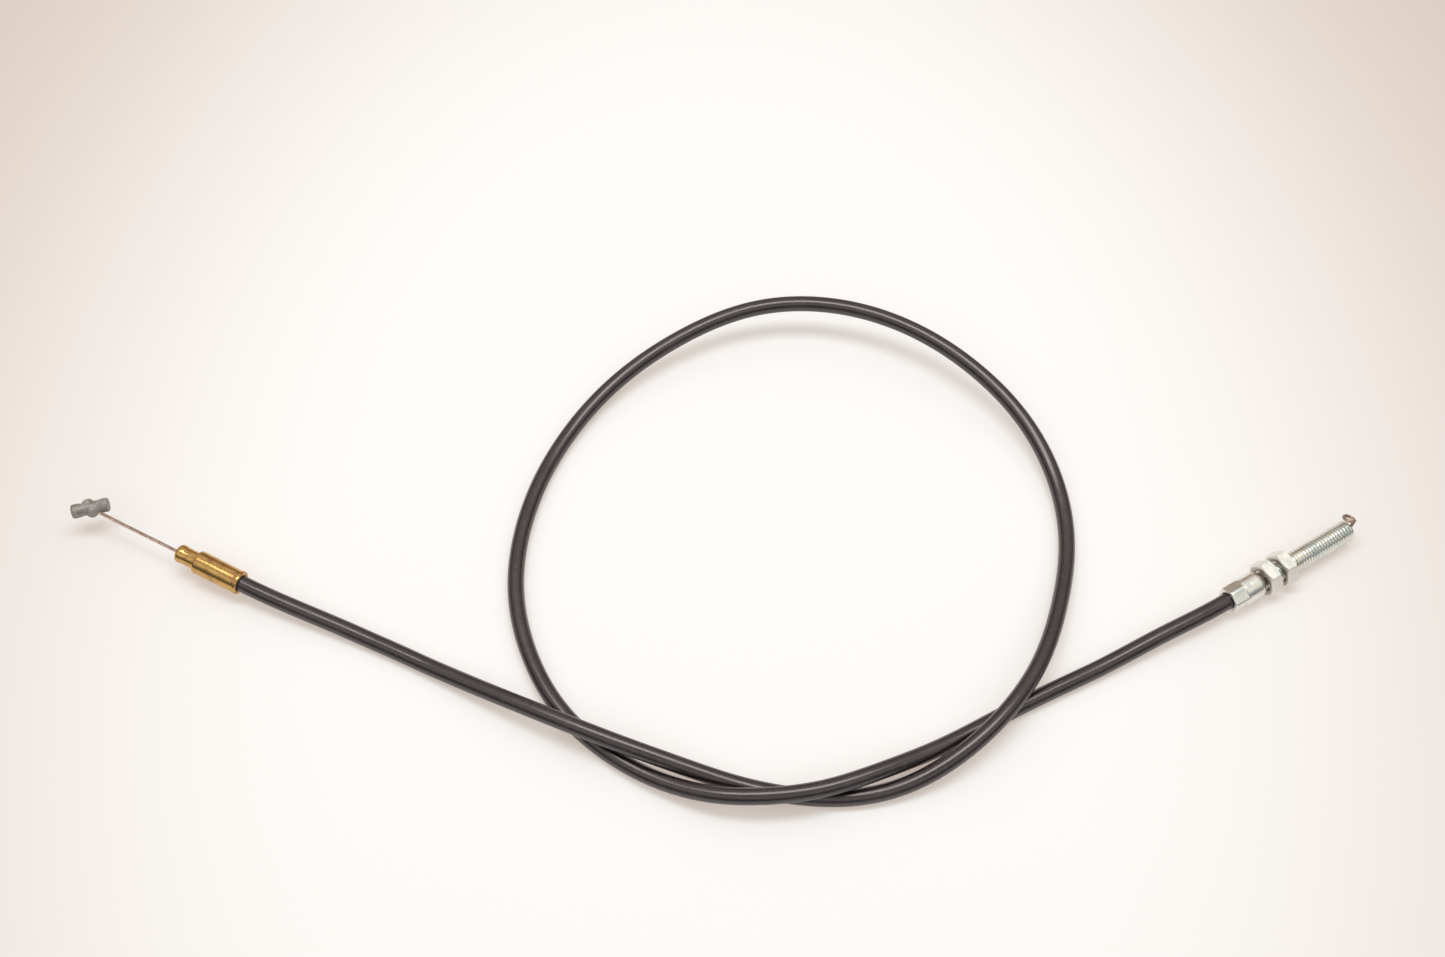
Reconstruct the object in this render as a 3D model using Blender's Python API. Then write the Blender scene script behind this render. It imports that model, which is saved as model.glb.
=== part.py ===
"""Brake cable for a small garden machine, lying in a loose overhand knot on a flat surface.

A black casing runs from a brass ferrule to a threaded adjuster with two lock nuts. A steel wire runs
through it, with a cast nipple on the lever's end and a bent eye on the brake's end.
Metres, +Z up. The surface is Z = 0. The origin is under the middle of the two end fittings.
"""

import math

import bmesh
import bpy
import numpy as np
from mathutils import Matrix, Vector

MM = 0.001
SHARP_ANGLE = math.radians(35)
ROUND_STEPS = 28
SMALL_STEPS = 16

# Casing: a plastic jacket over a steel conduit with a plastic liner
CASING_RADIUS = 3.0 * MM
JACKET_WALL = 0.8 * MM
CONDUIT_RADIUS = 2.0 * MM
CONDUIT_WALL = 0.65 * MM
LINER_RADIUS = 1.15 * MM
LINER_WALL = 0.3 * MM
WIRE_RADIUS = 0.6 * MM
ROUTE_SAMPLES = 60
FIT_GAP = 0.3 * MM

# The casing's route over the surface, from the ferrule's side to the adjuster's side
ROUTE = (
    (-0.1336, -0.0268, 0.0038), (-0.1010, -0.0419, 0.0031), (-0.0686, -0.0581, 0.0076),
    (-0.0460, -0.0686, 0.0099), (-0.0322, -0.0742, 0.0098), (-0.0186, -0.0788, 0.0082),
    (-0.0051, -0.0829, 0.0058), (0.0084, -0.0866, 0.0038), (0.0240, -0.0897, 0.0030),
    (0.0440, -0.0909, 0.0030), (0.0635, -0.0872, 0.0042), (0.0846, -0.0762, 0.0084),
    (0.0993, -0.0628, 0.0099), (0.1114, -0.0463, 0.0090), (0.1235, -0.0169, 0.0054),
    (0.1289, 0.0109, 0.0032), (0.1263, 0.0369, 0.0046), (0.1162, 0.0595, 0.0086),
    (0.1005, 0.0782, 0.0124), (0.0755, 0.0965, 0.0156), (0.0460, 0.1068, 0.0166),
    (0.0150, 0.1065, 0.0153), (-0.0140, 0.0953, 0.0112), (-0.0390, 0.0770, 0.0065),
    (-0.0584, 0.0512, 0.0033), (-0.0698, 0.0200, 0.0030), (-0.0720, -0.0120, 0.0030),
    (-0.0654, -0.0379, 0.0030), (-0.0536, -0.0586, 0.0030), (-0.0378, -0.0738, 0.0030),
    (-0.0243, -0.0824, 0.0036), (-0.0111, -0.0884, 0.0056), (0.0020, -0.0920, 0.0082),
    (0.0180, -0.0929, 0.0099), (0.0353, -0.0905, 0.0097), (0.0565, -0.0829, 0.0078),
    (0.0780, -0.0726, 0.0043), (0.1050, -0.0577, 0.0030), (0.1373, -0.0415, 0.0032),
    (0.1581, -0.0307, 0.0050),
)

# Ferrule: its rear mouth, and the way it points, from the mouth to its nose
FERRULE_MOUTH = Vector((-0.1702, -0.0110, 0.0070))
FERRULE_HEADING = math.radians(153.8)
FERRULE_RISE = math.radians(4.3)
FERRULE_LENGTH = 26.7 * MM
FERRULE_NOSE_LENGTH = 8.2 * MM
FERRULE_SHOULDER_RADIUS = 4.4 * MM
FERRULE_REAR_RADIUS = 4.15 * MM
FERRULE_LIP_RADIUS = 4.4 * MM
FERRULE_NECK_RADIUS = 3.2 * MM
FERRULE_NOSE_RADIUS = 3.4 * MM
FERRULE_SOCKET_DEPTH = 17.5 * MM
FERRULE_BORE_RADIUS = 1.0 * MM
FERRULE_LIP_LENGTH = 1.5 * MM
FERRULE_LIP_SLOPE = 0.8 * MM
FERRULE_RIM_LENGTH = 2.2 * MM
FERRULE_RIM_SLOPE = 0.5 * MM
FERRULE_RIM_ROUNDING = 0.75 * MM
FERRULE_SHOULDER_CHAMFER = 0.15 * MM
SOCKET_RADIUS = 3.25 * MM
EDGE_CHAMFER = 0.4 * MM
BORE_CHAMFER = 0.5 * MM
STRAIGHT_PAST_FERRULE = 20.0 * MM

# Adjuster: its sleeve's mouth, and the way it points, from the mouth to the thread's end
ADJUSTER_MOUTH = Vector((0.1831, -0.0175, 0.0060))
ADJUSTER_HEADING = math.radians(31.3)
ADJUSTER_LENGTH = 56.8 * MM
ADJUSTER_SOCKET_DEPTH = 12.3 * MM
ADJUSTER_BORE_RADIUS = 1.2 * MM
SLEEVE_LENGTH = 14.2 * MM
SLEEVE_RADIUS = 5.0 * MM
SLEEVE_ROUNDING = ((1.6 * MM, 0.0), (0.5 * MM, 0.35 * MM), (0.0, 0.9 * MM))
CRIMP_LENGTH = 6.0 * MM
CRIMP_ACROSS_FLATS = 9.0 * MM
CRIMP_DIE_OVERHANG = 1.0 * MM
NECK_RADIUS = 3.3 * MM
NECK_LENGTH = 0.9 * MM
THREAD_RADIUS = 3.85 * MM
THREAD_CHAMFER = 0.8 * MM
NECK_FILLET = 0.1 * MM
THREAD_START_SLOPE = 0.2 * MM
STRAIGHT_PAST_ADJUSTER = 8.0 * MM

# Lock nuts: 12 mm across their flats, lying on a flat each
NUT_ACROSS_FLATS = 12.0 * MM
NUT_THICKNESS = 5.3 * MM
NUT_BORE_RADIUS = 4.15 * MM
NUT_CHAMFER = 0.85 * MM
NUT_FACE_INSET = 0.1 * MM
NUT_INNER_AT = 15.4 * MM
NUT_OUTER_AT = 22.75 * MM

# Inner wire: how far it runs bare from the ferrule's nose to the nipple's middle, and its hidden ends
BARE_WIRE_LENGTH = 38.3 * MM
LEVER_END_DEPTH = 10.0 * MM
RUN_START_PAST_MOUTH = 16.5 * MM
RUN_END_PAST_CASING = 6.5 * MM
EYE_STUB_LENGTH = 37.5 * MM

# Nipple: a barrel with a lug across it, cast on the wire
NIPPLE_HEADING = math.radians(14.7)
LUG_HEADING = math.radians(-50.0)
NIPPLE_LENGTH = 13.2 * MM
NIPPLE_END_RADIUS = 2.55 * MM
NIPPLE_WAIST_RADIUS = 2.35 * MM
NIPPLE_ROUNDING = 0.5 * MM
NIPPLE_END_LENGTH = 2.2 * MM
NIPPLE_END_SLOPE = 1.4 * MM
LUG_LENGTH = 7.2 * MM
LUG_RADIUS = 2.2 * MM
LUG_ROUNDING = 0.8 * MM
NIPPLE_BORE_RADIUS = 0.9 * MM
NIPPLE_BORE_PAST_WIRE = 0.9 * MM
BORE_CUTTER_LENGTH = 12.0 * MM

# Eye: the wire turns up out of the thread's end and closes into a ring, whose far side hangs lower
EYE_RADIUS = 2.0 * MM
EYE_STEM_TOP = 5.2 * MM
EYE_BEND_RADIUS = 0.9 * MM
EYE_BEND_AT = 0.1 * MM
EYE_HEADING = math.radians(165)
EYE_TILT = math.radians(4)
EYE_LEAN = math.radians(25)
EYE_SWEEP = math.radians(335)
EYE_CLIMB = 1.2 * MM


def clear_scene():
    for item in list(bpy.data.objects):
        bpy.data.objects.remove(item, do_unlink=True)


def make_material(name, color, roughness, metallic):
    material = bpy.data.materials.new(name)
    material.use_nodes = True
    shader = material.node_tree.nodes["Principled BSDF"]
    shader.inputs["Base Color"].default_value = (*color, 1.0)
    shader.inputs["Roughness"].default_value = roughness
    shader.inputs["Metallic"].default_value = metallic
    return material


def heading_vector(heading, rise=0.0):
    flat = math.cos(rise)
    return Vector((math.cos(heading) * flat, math.sin(heading) * flat, math.sin(rise)))


def add_empty(name, place, direction, parent=None):
    """An empty whose local Z points along the direction, with its local Y as near to up as it can be."""
    empty = bpy.data.objects.new(name, None)
    bpy.context.scene.collection.objects.link(empty)
    turn = direction.to_track_quat("Z", "Y").to_matrix().to_4x4()
    empty.matrix_world = Matrix.Translation(place) @ turn
    if parent:
        empty.parent = parent
        empty.matrix_parent_inverse = parent.matrix_world.inverted()
    bpy.context.view_layer.update()
    return empty


def add_mesh_object(name, shape, material, parent, rounded=True):
    """Turns a bmesh into an object that sits at its parent's origin."""
    bmesh.ops.remove_doubles(shape, verts=shape.verts, dist=1e-6)
    bmesh.ops.recalc_face_normals(shape, faces=shape.faces)
    mesh = bpy.data.meshes.new(name)
    shape.to_mesh(mesh)
    shape.free()
    if rounded:
        mesh.shade_smooth()
        mesh.set_sharp_from_angle(angle=SHARP_ANGLE)
    obj = bpy.data.objects.new(name, mesh)
    bpy.context.scene.collection.objects.link(obj)
    if material:
        mesh.materials.append(material)
    obj.parent = parent
    return obj


def turned_shape(profile, steps=ROUND_STEPS):
    """Spins an outline of (radius, height) pairs about local Z. A pair with radius 0 lies on the axis."""
    shape = bmesh.new()
    points = [shape.verts.new((radius, 0.0, height)) for radius, height in profile]
    edges = [shape.edges.new(pair) for pair in zip(points, points[1:])]
    if profile[0][0] > 0 or profile[-1][0] > 0:
        edges.append(shape.edges.new((points[-1], points[0])))
    bmesh.ops.spin(
        shape, geom=[*points, *edges], cent=(0, 0, 0), axis=(0, 0, 1),
        angle=2 * math.pi, steps=steps, use_merge=True,
    )
    return shape


def boolean(obj, cutter, operation):
    modifier = obj.modifiers.new(operation.lower(), "BOOLEAN")
    modifier.operation = operation
    modifier.object = cutter


def hide_helper(obj):
    obj.hide_render = True
    obj.display_type = "WIRE"


def hex_shape(across_flats, height):
    """A hexagonal prism standing on local Z = 0, with flats facing along local Y and -Y."""
    shape = bmesh.new()
    corner = across_flats / math.sqrt(3)
    bmesh.ops.create_cone(shape, cap_ends=True, segments=6, radius1=corner, radius2=corner, depth=height)
    quarter = Matrix.Rotation(math.radians(90), 3, "Z")
    bmesh.ops.rotate(shape, verts=shape.verts, cent=(0, 0, 0), matrix=quarter)
    bmesh.ops.translate(shape, verts=shape.verts, vec=(0, 0, height / 2))
    return shape


def curve_slopes(points, knots, first, last):
    """The slopes that make a cubic through the points bend smoothly, with its end slopes given."""
    count = len(points)
    rows = np.zeros((count, count))
    wanted = np.zeros((count, 3))
    rows[0, 0] = rows[-1, -1] = 1.0
    wanted[0] = first
    wanted[-1] = last
    for i in range(1, count - 1):
        before = knots[i] - knots[i - 1]
        after = knots[i + 1] - knots[i]
        rows[i, i - 1:i + 2] = after, 2 * (before + after), before
        wanted[i] = 3 * (
            after / before * (points[i] - points[i - 1]) + before / after * (points[i + 1] - points[i])
        )
    return np.linalg.solve(rows, wanted)


def smooth_route(points, first, last, samples, steps=40):
    """Evenly spaced points on a smooth curve through the route, none lower than the surface allows."""
    points = np.array(points, float)
    spans = np.linalg.norm(np.diff(points, axis=0), axis=1)
    knots = np.concatenate([[0.0], np.cumsum(spans)])
    slopes = curve_slopes(points, knots, np.array(first), np.array(last))
    dense = []
    for i, span in enumerate(spans):
        for step in range(steps):
            t = step / steps
            dense.append(
                (2 * t**3 - 3 * t**2 + 1) * points[i] + (t**3 - 2 * t**2 + t) * span * slopes[i]
                + (3 * t**2 - 2 * t**3) * points[i + 1] + (t**3 - t**2) * span * slopes[i + 1]
            )
    dense = np.array([*dense, points[-1]])
    dense[:, 2] = np.maximum(dense[:, 2], CASING_RADIUS)
    along = np.concatenate([[0.0], np.cumsum(np.linalg.norm(np.diff(dense, axis=0), axis=1))])
    places = np.linspace(0, along[-1], samples)
    return [Vector(np.interp(place, along, dense[:, axis]) for axis in range(3)) for place in places]


def add_tube(name, path, radius, wall, sides, material):
    """A round tube along the path, or a solid rod where no wall is given."""
    curve = bpy.data.curves.new(name, "CURVE")
    curve.dimensions = "3D"
    curve.twist_mode = "Z_UP"
    curve.bevel_depth = radius
    curve.bevel_resolution = (sides - 4) // 2
    curve.use_fill_caps = wall is None
    spline = curve.splines.new("POLY")
    spline.points.add(len(path) - 1)
    for point, place in zip(spline.points, path):
        point.co = (*place, 1.0)
    curve.materials.append(material)
    obj = bpy.data.objects.new(name, curve)
    bpy.context.scene.collection.objects.link(obj)
    if wall is not None:
        solidify = obj.modifiers.new("wall", "SOLIDIFY")
        solidify.thickness = wall
        solidify.offset = -1
        solidify.use_even_offset = True
    return obj


def casing_path(ferrule_way, adjuster_way):
    """From inside the ferrule, straight out, round the knot, and straight into the adjuster."""
    start = FERRULE_MOUTH + ferrule_way * (FERRULE_SOCKET_DEPTH - FIT_GAP)
    leaves = FERRULE_MOUTH - ferrule_way * STRAIGHT_PAST_FERRULE
    arrives = ADJUSTER_MOUTH - adjuster_way * STRAIGHT_PAST_ADJUSTER
    end = ADJUSTER_MOUTH + adjuster_way * (ADJUSTER_SOCKET_DEPTH - FIT_GAP)
    curved = smooth_route((leaves, *ROUTE, arrives), -ferrule_way, adjuster_way, ROUTE_SAMPLES)
    return [start, FERRULE_MOUTH.copy(), *curved, end]


def build_casing(path, ferrule_way, adjuster_way):
    black = make_material("jacket_plastic", (0.012, 0.012, 0.014), 0.38, 0.0)
    steel = make_material("conduit_steel", (0.42, 0.42, 0.44), 0.4, 1.0)
    white = make_material("liner_plastic", (0.85, 0.85, 0.82), 0.35, 0.0)
    strand = make_material("wire_steel", (0.30, 0.27, 0.24), 0.45, 1.0)
    add_tube("casing_jacket", path, CASING_RADIUS, JACKET_WALL, 12, black)
    add_tube("casing_conduit", path, CONDUIT_RADIUS, CONDUIT_WALL, 12, steel)
    add_tube("casing_liner", path, LINER_RADIUS, LINER_WALL, 8, white)
    run_start = FERRULE_MOUTH - ferrule_way * RUN_START_PAST_MOUTH
    run_end = path[-1] + adjuster_way * RUN_END_PAST_CASING
    add_tube("inner_wire_run", [run_start, *path[2:], run_end], WIRE_RADIUS, None, 8, strand)
    return strand


def build_ferrule(parent):
    brass = make_material("brass", (0.62, 0.40, 0.12), 0.28, 1.0)
    shoulder_at = FERRULE_LENGTH - FERRULE_NOSE_LENGTH
    rim_at = FERRULE_LENGTH - FERRULE_RIM_LENGTH
    profile = (
        (SOCKET_RADIUS + EDGE_CHAMFER / 2, 0.0), (FERRULE_LIP_RADIUS - EDGE_CHAMFER / 2, 0.0),
        (FERRULE_LIP_RADIUS, EDGE_CHAMFER), (FERRULE_LIP_RADIUS, FERRULE_LIP_LENGTH),
        (FERRULE_REAR_RADIUS, FERRULE_LIP_LENGTH + FERRULE_LIP_SLOPE),
        (FERRULE_SHOULDER_RADIUS, shoulder_at - EDGE_CHAMFER),
        (FERRULE_SHOULDER_RADIUS - FERRULE_SHOULDER_CHAMFER, shoulder_at), (FERRULE_NECK_RADIUS, shoulder_at),
        (FERRULE_NECK_RADIUS, rim_at - FERRULE_RIM_SLOPE), (FERRULE_NOSE_RADIUS, rim_at),
        (FERRULE_NOSE_RADIUS, FERRULE_LENGTH - FERRULE_RIM_ROUNDING),
        (FERRULE_NOSE_RADIUS - FERRULE_RIM_ROUNDING, FERRULE_LENGTH),
        (FERRULE_BORE_RADIUS + BORE_CHAMFER, FERRULE_LENGTH),
        (FERRULE_BORE_RADIUS, FERRULE_LENGTH - BORE_CHAMFER),
        (FERRULE_BORE_RADIUS, FERRULE_SOCKET_DEPTH), (SOCKET_RADIUS, FERRULE_SOCKET_DEPTH),
        (SOCKET_RADIUS, EDGE_CHAMFER),
    )
    return add_mesh_object("ferrule", turned_shape(profile), brass, parent)


def build_adjuster(parent, zinc):
    """Sleeve, neck and threaded tube in one piece. The fine thread is left as its middle cylinder."""
    thread_at = SLEEVE_LENGTH + NECK_LENGTH
    profile = (
        (SOCKET_RADIUS + EDGE_CHAMFER / 2, 0.0), (SLEEVE_RADIUS - EDGE_CHAMFER, 0.0),
        (SLEEVE_RADIUS, EDGE_CHAMFER),
        *((SLEEVE_RADIUS - inwards, SLEEVE_LENGTH - back) for back, inwards in SLEEVE_ROUNDING),
        (NECK_RADIUS, SLEEVE_LENGTH + NECK_FILLET), (NECK_RADIUS, thread_at - THREAD_START_SLOPE),
        (THREAD_RADIUS, thread_at + THREAD_START_SLOPE), (THREAD_RADIUS, ADJUSTER_LENGTH - THREAD_CHAMFER),
        (THREAD_RADIUS - THREAD_CHAMFER, ADJUSTER_LENGTH),
        (ADJUSTER_BORE_RADIUS + BORE_CHAMFER, ADJUSTER_LENGTH),
        (ADJUSTER_BORE_RADIUS, ADJUSTER_LENGTH - BORE_CHAMFER),
        (ADJUSTER_BORE_RADIUS, ADJUSTER_SOCKET_DEPTH), (SOCKET_RADIUS, ADJUSTER_SOCKET_DEPTH),
        (SOCKET_RADIUS, EDGE_CHAMFER),
    )
    adjuster = add_mesh_object("adjuster", turned_shape(profile), zinc, parent)
    die = add_mesh_object("crimp_die", crimp_die_shape(), None, parent, rounded=False)
    hide_helper(die)
    boolean(adjuster, die, "DIFFERENCE")
    return adjuster


def crimp_die_shape():
    """What the crimping tool presses away: a round ring with a six-sided hole, past the sleeve's mouth."""
    shape = bmesh.new()
    outer = bmesh.ops.create_circle(shape, segments=6, radius=2.0 * SLEEVE_RADIUS)["verts"]
    inner = bmesh.ops.create_circle(shape, segments=6, radius=CRIMP_ACROSS_FLATS / math.sqrt(3))["verts"]
    rims = [edge for ring in (outer, inner) for edge in shape.edges if edge.verts[0] in ring]
    flat = bmesh.ops.bridge_loops(shape, edges=rims)["faces"]
    grown = bmesh.ops.extrude_face_region(shape, geom=flat)["geom"]
    moved = [item for item in grown if isinstance(item, bmesh.types.BMVert)]
    bmesh.ops.translate(shape, verts=shape.verts, vec=(0, 0, -CRIMP_DIE_OVERHANG))
    bmesh.ops.translate(shape, verts=moved, vec=(0, 0, CRIMP_LENGTH + CRIMP_DIE_OVERHANG))
    return shape


def build_nut(name, parent, at, zinc):
    """A hexagon with turned chamfers on both faces and a clear bore for the thread."""
    way = parent.matrix_world.to_3x3() @ Vector((0, 0, 1))
    empty = add_empty(name + "_axis", parent.matrix_world @ Vector((0, 0, at)), way, parent)
    nut = add_mesh_object(name, hex_shape(NUT_ACROSS_FLATS, NUT_THICKNESS), zinc, empty, rounded=False)
    corner = NUT_ACROSS_FLATS / math.sqrt(3) + EDGE_CHAMFER / 2
    face = NUT_ACROSS_FLATS / 2 - NUT_FACE_INSET
    mouth = NUT_BORE_RADIUS + EDGE_CHAMFER
    blank = add_mesh_object(
        name + "_blank",
        turned_shape((
            (mouth, 0.0), (face, 0.0), (corner, NUT_CHAMFER), (corner, NUT_THICKNESS - NUT_CHAMFER),
            (face, NUT_THICKNESS), (mouth, NUT_THICKNESS), (NUT_BORE_RADIUS, NUT_THICKNESS - EDGE_CHAMFER),
            (NUT_BORE_RADIUS, EDGE_CHAMFER),
        )),
        None, empty,
    )
    hide_helper(blank)
    boolean(nut, blank, "INTERSECT")
    return nut


def build_nipple(parent, centre, wire_way):
    """A barrel with rounded, slightly swollen ends, a lug across it, and a blind bore for the wire."""
    zinc_cast = make_material("cast_zinc", (0.16, 0.18, 0.20), 0.6, 0.8)
    half = NIPPLE_LENGTH / 2
    waist_half = half - NIPPLE_END_LENGTH - NIPPLE_END_SLOPE
    barrel_profile = (
        (0.0, -half), (NIPPLE_END_RADIUS - NIPPLE_ROUNDING, -half),
        (NIPPLE_END_RADIUS, -half + NIPPLE_ROUNDING),
        (NIPPLE_END_RADIUS, -half + NIPPLE_END_LENGTH), (NIPPLE_WAIST_RADIUS, -waist_half),
        (NIPPLE_WAIST_RADIUS, waist_half), (NIPPLE_END_RADIUS, half - NIPPLE_END_LENGTH),
        (NIPPLE_END_RADIUS, half - NIPPLE_ROUNDING), (NIPPLE_END_RADIUS - NIPPLE_ROUNDING, half), (0.0, half),
    )
    lug_half = LUG_LENGTH / 2
    lug_profile = (
        (0.0, -lug_half), (LUG_RADIUS - LUG_ROUNDING, -lug_half), (LUG_RADIUS, -lug_half + LUG_ROUNDING),
        (LUG_RADIUS, lug_half - LUG_ROUNDING), (LUG_RADIUS - LUG_ROUNDING, lug_half), (0.0, lug_half),
    )
    bore_profile = (
        (0.0, -NIPPLE_BORE_PAST_WIRE), (NIPPLE_BORE_RADIUS, -NIPPLE_BORE_PAST_WIRE),
        (NIPPLE_BORE_RADIUS, BORE_CUTTER_LENGTH), (0.0, BORE_CUTTER_LENGTH),
    )
    barrel_axis = add_empty("nipple_axis", centre, heading_vector(NIPPLE_HEADING), parent)
    lug_axis = add_empty("lug_axis", centre, heading_vector(LUG_HEADING), parent)
    bore_axis = add_empty("nipple_bore_axis", centre, -wire_way, parent)
    nipple = add_mesh_object("nipple", turned_shape(barrel_profile, 20), zinc_cast, barrel_axis)
    lug = add_mesh_object("nipple_lug", turned_shape(lug_profile, SMALL_STEPS), None, lug_axis)
    bore = add_mesh_object("nipple_bore", turned_shape(bore_profile, 12), None, bore_axis)
    hide_helper(lug)
    hide_helper(bore)
    boolean(nipple, lug, "UNION")
    boolean(nipple, bore, "DIFFERENCE")
    return nipple


def eye_path(adjuster_way):
    """The wire's middle line: out of the thread's end, up a bend, and round the ring at its top."""
    tip = ADJUSTER_MOUTH + adjuster_way * ADJUSTER_LENGTH
    up = Vector((0, 0, 1))
    bend_start = tip + adjuster_way * EYE_BEND_AT
    points = [tip - adjuster_way * EYE_STUB_LENGTH, bend_start]
    for step in range(1, 6):
        turn = math.radians(90) * step / 5
        ahead = EYE_BEND_RADIUS * math.sin(turn)
        points.append(bend_start + adjuster_way * ahead + up * EYE_BEND_RADIUS * (1 - math.cos(turn)))
    stem_top = bend_start + adjuster_way * EYE_BEND_RADIUS + up * EYE_STEM_TOP
    points.append(stem_top - up * EYE_BEND_RADIUS)
    across = heading_vector(EYE_HEADING, EYE_TILT)
    flat = across.cross(up).normalized()
    along = flat * math.cos(EYE_LEAN) + across.cross(flat) * math.sin(EYE_LEAN)
    ring_centre = stem_top + across * EYE_RADIUS
    for step in range(17):
        turn = EYE_SWEEP * step / 16
        on_ring = -across * math.cos(turn) + along * math.sin(turn)
        points.append(ring_centre + on_ring * EYE_RADIUS + up * EYE_CLIMB * step / 16)
    return points


def build():
    clear_scene()
    ferrule_way = heading_vector(FERRULE_HEADING, FERRULE_RISE)
    adjuster_way = heading_vector(ADJUSTER_HEADING)
    zinc = make_material("zinc_plate", (0.66, 0.67, 0.66), 0.25, 1.0)
    strand = build_casing(casing_path(ferrule_way, adjuster_way), ferrule_way, adjuster_way)

    ferrule_axis = add_empty("ferrule_axis", FERRULE_MOUTH, ferrule_way)
    build_ferrule(ferrule_axis)
    nose = FERRULE_MOUTH + ferrule_way * FERRULE_LENGTH
    nipple_centre = nose + ferrule_way * BARE_WIRE_LENGTH
    lever_slide = add_empty("lever_slide_axis", nose, -ferrule_way, ferrule_axis)
    build_nipple(lever_slide, nipple_centre, ferrule_way)
    lever_ends = [nipple_centre, nose, nose - ferrule_way * LEVER_END_DEPTH]
    add_tube("inner_wire_lever_end", lever_ends, WIRE_RADIUS, None, 8, strand)

    adjuster_axis = add_empty("adjuster_axis", ADJUSTER_MOUTH, adjuster_way)
    build_adjuster(adjuster_axis, zinc)
    build_nut("lock_nut_inner", adjuster_axis, NUT_INNER_AT, zinc)
    build_nut("lock_nut_outer", adjuster_axis, NUT_OUTER_AT, zinc)
    add_tube("inner_wire_eye_end", eye_path(adjuster_way), WIRE_RADIUS, None, 8, strand)


build()
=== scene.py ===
# %% [markdown]
# # A brake cable, dressed for its picture
#
# The solids of this cable come from a imported frame: a casing with a steel wire inside, a brass ferrule and
# a cast nipple on the lever's end, and a threaded adjuster with two nuts and a bent wire eye on the brake's
# end. They have the right sizes and they move, but they are plain. This file keeps every size and place and
# gives each piece its finish: rounded edges, a real thread, stranded wire, cast zinc, tarnished brass.
#
# We load the frame first.

# %% Load the frame
import math

import bmesh
import bpy
import numpy as np
from mathutils import Matrix, Vector, noise


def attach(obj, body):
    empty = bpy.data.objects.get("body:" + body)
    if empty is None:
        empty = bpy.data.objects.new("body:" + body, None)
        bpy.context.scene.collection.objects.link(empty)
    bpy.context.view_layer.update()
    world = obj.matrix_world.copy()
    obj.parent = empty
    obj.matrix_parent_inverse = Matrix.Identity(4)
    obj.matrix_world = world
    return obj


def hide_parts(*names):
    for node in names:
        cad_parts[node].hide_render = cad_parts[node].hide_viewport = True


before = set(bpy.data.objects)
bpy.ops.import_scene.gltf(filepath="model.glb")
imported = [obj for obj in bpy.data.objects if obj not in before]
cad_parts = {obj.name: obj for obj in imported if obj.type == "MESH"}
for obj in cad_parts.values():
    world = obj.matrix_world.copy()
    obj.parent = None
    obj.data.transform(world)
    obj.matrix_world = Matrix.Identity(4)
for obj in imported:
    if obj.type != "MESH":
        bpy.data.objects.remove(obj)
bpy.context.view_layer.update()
scene = bpy.context.scene
MM = 0.001
print("solids:", sorted(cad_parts))

# %% [markdown]
# ## Camera
#
# The camera looks down on the cable at 58 degrees, along +Y, from 66 cm away. The lens follows from the
# picture's width in pixels and the focal length in pixels that fits the known sizes of thread and nuts.

# %% Camera
CAMERA_ELEVATION = math.radians(58)
CAMERA_DISTANCE = 0.66
LOOKS_AT = Vector((0.0025, 0.0378, 0.0))
SENSOR_WIDTH = 36.0
FOCAL_PIXELS = 1750
PICTURE_WIDTH = 1445

camera_data = bpy.data.cameras.new("camera")
camera_data.sensor_width = SENSOR_WIDTH
camera_data.lens = SENSOR_WIDTH * FOCAL_PIXELS / PICTURE_WIDTH
camera = bpy.data.objects.new("camera", camera_data)
scene.collection.objects.link(camera)
towards_camera = Vector((0, -math.cos(CAMERA_ELEVATION), math.sin(CAMERA_ELEVATION)))
camera.location = LOOKS_AT + towards_camera * CAMERA_DISTANCE
camera.rotation_euler = (math.pi / 2 - CAMERA_ELEVATION, 0, 0)
scene.camera = camera
print("lens", round(camera_data.lens, 1), "mm")

# %% [markdown]
# ## Where the two ends lie
#
# Each end of the cable has an axis of its own. A small helper turns "the mouth is here and it points that
# way" into a matrix. Pieces are then modelled upright around the Z axis, in millimetres along it, and the
# matrix lays them down. The matrix goes into the mesh, so that every object stays at the origin.

# %% Axes of the two ends
FERRULE_MOUTH = Vector((-0.1702, -0.0110, 0.0070))
FERRULE_HEADING = math.radians(153.8)
FERRULE_RISE = math.radians(4.3)
ADJUSTER_MOUTH = Vector((0.1831, -0.0175, 0.0060))
ADJUSTER_HEADING = math.radians(31.3)


def heading_vector(heading, rise=0.0):
    flat = math.cos(rise)
    return Vector((math.cos(heading) * flat, math.sin(heading) * flat, math.sin(rise)))


def laid(place, way):
    """The matrix that moves the origin to a place and lays local Z along a direction, with local Y up."""
    return Matrix.Translation(place) @ way.to_track_quat("Z", "Y").to_matrix().to_4x4()


ferrule_way = heading_vector(FERRULE_HEADING, FERRULE_RISE)
adjuster_way = heading_vector(ADJUSTER_HEADING)
ferrule_place = laid(FERRULE_MOUTH, ferrule_way)
adjuster_place = laid(ADJUSTER_MOUTH, adjuster_way)
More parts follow.
